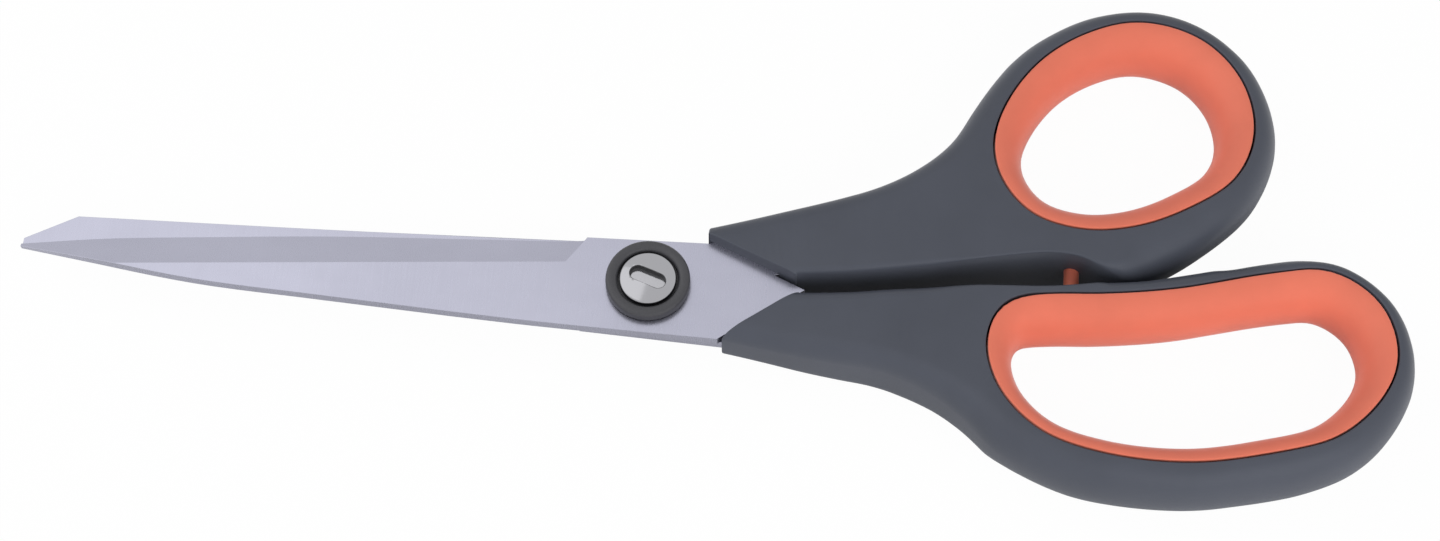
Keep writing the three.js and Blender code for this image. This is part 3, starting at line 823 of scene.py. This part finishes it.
def cup_washer(node, down, sizes, material):
    """A cup washer that takes the screw head, open away from the blades."""
    low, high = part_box(node)
    rim = (high.x - low.x) / 2
    floor, lip = (high.z, low.z) if down else (low.z, high.z)
    up = -1 if down else 1
    head_low, head_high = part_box("pivot_nut" if down else "pivot_screw")
    sink = (head_high.x - head_low.x) / 2 + sizes.clearance
    bore = sizes.barrel / 2 + sizes.clearance
    edge = sizes.washer_edge
    seat = floor + up * sizes.washer_floor
    inner = sizes.washer_dish
    chamfer = 0.1 * MM
    profile = [(bore, floor), (rim - chamfer, floor), (rim, floor + up * chamfer)]
    profile += [(rim, lip - up * edge), *corner(rim, lip, edge, up)]
    profile += [(sink + inner, lip)]
    profile += [(sink + (1 - b) * inner, lip - up * a * inner) for a, b in rounding(LIP_STEPS)]
    profile += [(sink, seat), (bore, seat), (bore, floor)]
    bm = bmesh.new()
    turned(bm, sizes.round_steps, rim, profile)
    return piece(bm, node + "_cup", node, FINGER_HALF, material, WASHER_CREASE)


def stadium(length, width, turn, height):
    """Outline of a slot with round ends, across the pivot's axis."""
    bm = bmesh.new()
    bmesh.ops.create_circle(bm, segments=SLOT_STEPS, radius=width / 2)
    points = [v.co.copy() for v in bm.verts]
    bm.free()
    stretch = (length - width) / 2
    for point in points:
        point.x += math.copysign(stretch, point.x)
    if area(points) < 0:
        points.reverse()
    lying = Matrix.Rotation(turn, 3, "Z")
    return [lying @ p + Vector((PIVOT.x, PIVOT.y, height)) for p in points]


def crowned(bm, top, radius, sizes):
    """Gives a flat head its crown: cuts its face into a fine grid and lets it fall to the edge."""
    pitch = radius / CROWN_LINES
    for axis in (Vector((1, 0, 0)), Vector((0, 1, 0))):
        for k in range(1 - CROWN_LINES, CROWN_LINES):
            face = [f for f in bm.faces if min(v.co.z for v in f.verts) > top - MERGE]
            edges = {e for f in face for e in f.edges}
            verts = {v for f in face for v in f.verts}
            bmesh.ops.bisect_plane(
                bm, geom=[*verts, *edges, *face], dist=MERGE, plane_co=PIVOT + axis * pitch * k,
                plane_no=axis)
    for vert in bm.verts:
        if vert.co.z > top - sizes.slot_depth / 2:
            away = (vert.co - PIVOT).to_2d().length / radius
            vert.co.z -= sizes.head_crown * away * away


def pivot_screw(sizes, material, slot_shade_material):
    """The shouldered pivot screw, with a slot in its bright crowned head."""
    node = "pivot_screw"
    low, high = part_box(node)
    radius = (high.x - low.x) / 2
    top = high.z
    under = top - sizes.head_thickness
    nut_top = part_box("pivot_nut")[1].z + sizes.clearance
    profile = [
        (sizes.stud / 2, low.z), (sizes.stud / 2, nut_top), (sizes.barrel / 2, nut_top),
        (sizes.barrel / 2, under), (radius, under), (radius, top - sizes.head_edge)]
    profile += corner(radius, top, sizes.head_edge, 1, HEAD_EDGE_STEPS)
    bm = bmesh.new()
    end, rim = turned(bm, sizes.round_steps, radius, profile)
    bmesh.ops.edgeloop_fill(bm, edges=end)
    edge = 0.12 * MM
    slant = edge * 0.3
    bottom = top - sizes.slot_depth
    slot = stadium(sizes.slot_length, sizes.slot_width, sizes.slot_turn, top)
    rings = [level(edge, top), level(slant, top - slant), level(0, top - edge)]
    rings += [level(0, bottom + edge), level(-edge, bottom)]
    outside = set(bm.faces)
    mouth, floor = skirt(bm, slot, rings)
    # The slot's walls take the second material, whose dark colour paints the shade in the slot.
    for face in set(bm.faces) - outside:
        face.material_index = 1
    bmesh.ops.edgeloop_fill(bm, edges=floor)
    bmesh.ops.triangle_fill(bm, use_beauty=True, edges=rim + mouth)
    crowned(bm, top, radius, sizes)
    screw = piece(
        bm, node + "_turned", node, FINGER_HALF, material, TURNED_CREASE)
    screw.data.materials.append(slot_shade_material)
    return screw


def pivot_nut(sizes, material):
    """The round nut behind the blades, with rounded edges and a plain bore."""
    node = "pivot_nut"
    low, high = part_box(node)
    radius = (high.x - low.x) / 2
    bore = sizes.stud / 2 + sizes.clearance
    edge = sizes.head_edge
    profile = [(bore, high.z), (radius, high.z), (radius, low.z + edge)]
    profile += corner(radius, low.z, edge, -1, HEAD_EDGE_STEPS)
    profile += [(bore + edge / 2, low.z), (bore, low.z + edge / 2), (bore, high.z)]
    bm = bmesh.new()
    turned(bm, sizes.round_steps, radius, profile)
    return piece(
        bm, node + "_turned", node, FINGER_HALF, material, TURNED_CREASE)


def stop_bumper(material):
    """The soft stop: a pin with a domed nose towards the finger handle."""
    node = "stop_bumper"
    low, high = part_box(node)
    centre = (low + high) / 2
    radius = (high.x - low.x) / 2
    bm = bmesh.new()
    nose = [bm.verts.new((centre.x, low.y, centre.z))]
    for inward, up in rounding(STOP_NOSE_STEPS):
        at = Vector((centre.x + up * radius, low.y + inward * radius, centre.z))
        nose.append(bm.verts.new(at))
    nose.append(bm.verts.new((centre.x + radius, high.y, centre.z)))
    nose.append(bm.verts.new((centre.x, high.y, centre.z)))
    profile = [bm.edges.new(pair) for pair in zip(nose, nose[1:])]
    bmesh.ops.spin(
        bm, geom=nose + profile, cent=centre, axis=(0, 1, 0), angle=2 * math.pi,
        steps=STOP_STEPS, use_merge=True)
    return piece(bm, node + "_pin", node, THUMB_HALF, material, MOULDED_CREASE)


class SCISSORS_OT_blades(bpy.types.Operator):
    """Model the two ground blades"""

    bl_idname = "scissors.blades"
    bl_label = "Blades"

    def execute(self, context):
        steel = ground_steel(context.scene.scissors_finishes)
        sizes = context.scene.scissors_blades
        blade("front_blade", THUMB_HALF, sizes, steel)
        blade("rear_blade", FINGER_HALF, sizes, steel)
        return {"FINISHED"}


class SCISSORS_OT_handles(bpy.types.Operator):
    """Model the two moulded handles"""

    bl_idname = "scissors.handles"
    bl_label = "Handles"

    def execute(self, context):
        plastic = handle_plastic(context.scene.scissors_finishes)
        sizes = context.scene.scissors_mouldings
        handle("thumb_handle", THUMB_HALF, -1, -BESIDE_TANG, sizes, plastic)
        handle("finger_handle", FINGER_HALF, 1, BESIDE_TANG, sizes, plastic)
        return {"FINISHED"}


class SCISSORS_OT_grips(bpy.types.Operator):
    """Model the two soft liners and the stop between the handles"""

    bl_idname = "scissors.grips"
    bl_label = "Grips"

    def execute(self, context):
        rubber = grip_rubber(context.scene.scissors_finishes)
        sizes = context.scene.scissors_mouldings
        grip("thumb_grip", THUMB_HALF, sizes, rubber)
        grip("finger_grip", FINGER_HALF, sizes, rubber)
        stop_bumper(rubber)
        return {"FINISHED"}


class SCISSORS_OT_pivot(bpy.types.Operator):
    """Model the pivot screw, its nut and both cup washers"""

    bl_idname = "scissors.pivot"
    bl_label = "Pivot"

    def execute(self, context):
        bright = bright_steel(context.scene.scissors_finishes)
        black = washer_plastic(context.scene.scissors_finishes)
        sizes = context.scene.scissors_pivot
        pivot_screw(sizes, bright, slot_steel_painted_shade(context.scene.scissors_finishes))
        pivot_nut(sizes, bright)
        cup_washer("front_washer", False, sizes, black)
        cup_washer("rear_washer", True, sizes, black)
        return {"FINISHED"}


def combined(tree, operation, first, second):
    """The outcome of an operation on two values."""
    node = add_node(tree, "ShaderNodeMath", operation=operation)
    tree.links.new(first, node.inputs[0])
    tree.links.new(second, node.inputs[1])
    return node.outputs[0]


def seen_or_mirrored(tree, contact=None):
    """One for rays from the camera, from gloss and through glass, and nought for light.

    Gloss that is nearer than the contact distance meets the object's own shadow, and gets less.
    """
    path = add_node(tree, "ShaderNodeLightPath")
    mirrored = path.outputs["Is Glossy Ray"]
    if contact:
        shaded = 0.1
        near, far = 0.9 * contact, 1.1 * contact
        apart = spread(tree, path.outputs["Ray Length"], shaded, 1, near, far)
        mirrored = combined(tree, "MULTIPLY", mirrored, apart)
    seen = combined(tree, "MAXIMUM", path.outputs["Is Camera Ray"], mirrored)
    return combined(tree, "MAXIMUM", seen, path.outputs["Is Transmission Ray"])


def white_floor(colours, settings):
    """A white floor that keeps a soft shadow."""
    bm = bmesh.new()
    bmesh.ops.create_grid(bm, x_segments=2, y_segments=2, size=FLOOR_REACH)
    bmesh.ops.translate(bm, verts=bm.verts, vec=(0, 0, CAD_BOX[0].z - FLOOR_GAP))
    mesh = bpy.data.meshes.new("studio_floor")
    bm.to_mesh(mesh)
    bm.free()
    floor = bpy.data.objects.new("studio_floor", mesh)
    bpy.context.scene.collection.objects.link(floor)
    material = bpy.data.materials.new("studio white")
    material.use_nodes = True
    tree = material.node_tree
    tree.nodes.clear()
    matt = add_node(tree, "ShaderNodeBsdfDiffuse", Color=(*colours.floor, 1))
    glow = add_node(tree, "ShaderNodeEmission", Color=(1, 1, 1, 1), Strength=1)
    share = add_node(tree, "ShaderNodeMath", operation="MULTIPLY")
    share.inputs[1].default_value = settings.floor_glow
    mix = add_node(tree, "ShaderNodeMixShader")
    output = add_node(tree, "ShaderNodeOutputMaterial")
    contact = CAD_BOX[1].z - CAD_BOX[0].z
    tree.links.new(seen_or_mirrored(tree, contact), share.inputs[0])
    tree.links.new(share.outputs[0], mix.inputs["Fac"])
    tree.links.new(matt.outputs["BSDF"], mix.inputs[1])
    tree.links.new(glow.outputs["Emission"], mix.inputs[2])
    tree.links.new(mix.outputs["Shader"], output.inputs["Surface"])
    mesh.materials.append(material)


def white_room(settings):
    """White all around for the eye and for reflections, and a soft light from there."""
    world = bpy.data.worlds.new("studio room")
    bpy.context.scene.world = world
    world.use_nodes = True
    tree = world.node_tree
    tree.nodes.clear()
    light = add_node(tree, "ShaderNodeBackground", Color=(1, 1, 1, 1))
    light.inputs["Strength"].default_value = settings.room_light
    white = add_node(tree, "ShaderNodeBackground", Color=(1, 1, 1, 1))
    white.inputs["Strength"].default_value = 1
    mix = add_node(tree, "ShaderNodeMixShader")
    output = add_node(tree, "ShaderNodeOutputWorld")
    tree.links.new(seen_or_mirrored(tree), mix.inputs["Fac"])
    tree.links.new(light.outputs["Background"], mix.inputs[1])
    tree.links.new(white.outputs["Background"], mix.inputs[2])
    tree.links.new(mix.outputs["Shader"], output.inputs["Surface"])


def aimed(obj, place, aim):
    """Puts a lamp or the camera at a place and turns it towards its aim."""
    obj.location = place
    obj.rotation_euler = (aim - place).to_track_quat("-Z", "Y").to_euler()
    bpy.context.scene.collection.objects.link(obj)


def softbox(name, place, aim, size, power, mirrored=False):
    """A large soft lamp. One that isn't mirrored leaves no white patch on the steel."""
    lamp = bpy.data.lights.new(name, "AREA")
    lamp.shape = "RECTANGLE"
    lamp.size, lamp.size_y = size
    lamp.energy = power
    obj = bpy.data.objects.new(name, lamp)
    obj.visible_glossy = mirrored
    aimed(obj, place, aim)


class SCISSORS_OT_studio(bpy.types.Operator):
    """Set up the white floor, the soft lamps and the camera"""

    bl_idname = "scissors.studio"
    bl_label = "Studio"

    def execute(self, context):
        settings = context.scene.scissors_studio
        white_floor(context.scene.scissors_finishes, settings)
        white_room(settings)
        aim = Vector(settings.view_aim)
        softbox("overhead softbox", aim + OVERHEAD_PLACE, aim, OVERHEAD_SIZE,
                settings.overhead_power, mirrored=True)
        softbox("front softbox", aim + FRONT_PLACE, aim, FRONT_SIZE, settings.front_power)
        softbox("side softbox", aim + SIDE_PLACE, aim, SIDE_SIZE, settings.side_power)
        height = settings.view_height
        turn = settings.view_turn
        level_part = math.cos(height)
        away = Vector((
            math.sin(turn) * level_part, -math.cos(turn) * level_part, math.sin(height)))
        lens = bpy.data.cameras.new("studio camera")
        lens.lens = settings.lens
        lens.sensor_width = 36
        camera = bpy.data.objects.new("studio camera", lens)
        aimed(camera, aim + away * settings.view_distance, aim)
        context.scene.camera = camera
        context.scene.view_settings.view_transform = "Standard"
        return {"FINISHED"}


class SCISSORS_PT_panel(bpy.types.Panel):
    """The scissors' pieces, sizes and finishes"""

    bl_idname = "SCISSORS_PT_panel"
    bl_label = "Scissors"
    bl_space_type = "VIEW_3D"
    bl_region_type = "UI"
    bl_category = "Scissors"

    def draw(self, context):
        for group in GROUPS:
            box = self.layout.box()
            settings = getattr(context.scene, group)
            for name in settings.bl_rna.properties.keys():
                if name not in {"rna_type", "name"}:
                    box.prop(settings, name)
        for operator in OPERATORS:
            self.layout.operator(operator.bl_idname)


GROUPS = {
    "scissors_blades": BladeSizes,
    "scissors_mouldings": MouldingSizes,
    "scissors_pivot": PivotSizes,
    "scissors_finishes": Finishes,
    "scissors_studio": StudioSettings,
}
OPERATORS = (
    SCISSORS_OT_blades, SCISSORS_OT_handles, SCISSORS_OT_grips, SCISSORS_OT_pivot,
    SCISSORS_OT_studio)
CLASSES = (*GROUPS.values(), *OPERATORS, SCISSORS_PT_panel)


def register():
    """Registers the settings, operators and panel."""
    for cls in CLASSES:
        bpy.utils.register_class(cls)
    for name, group in GROUPS.items():
        setattr(bpy.types.Scene, name, PointerProperty(type=group))


def unregister():
    """Takes the settings, operators and panel away again."""
    for name in GROUPS:
        delattr(bpy.types.Scene, name)
    for cls in reversed(CLASSES):
        bpy.utils.unregister_class(cls)


def main():
    """Models all pieces and the studio."""
    register()
    bpy.ops.scissors.blades()
    bpy.ops.scissors.handles()
    bpy.ops.scissors.grips()
    bpy.ops.scissors.pivot()
    bpy.ops.scissors.studio()


if __name__ == "__main__":
    main()
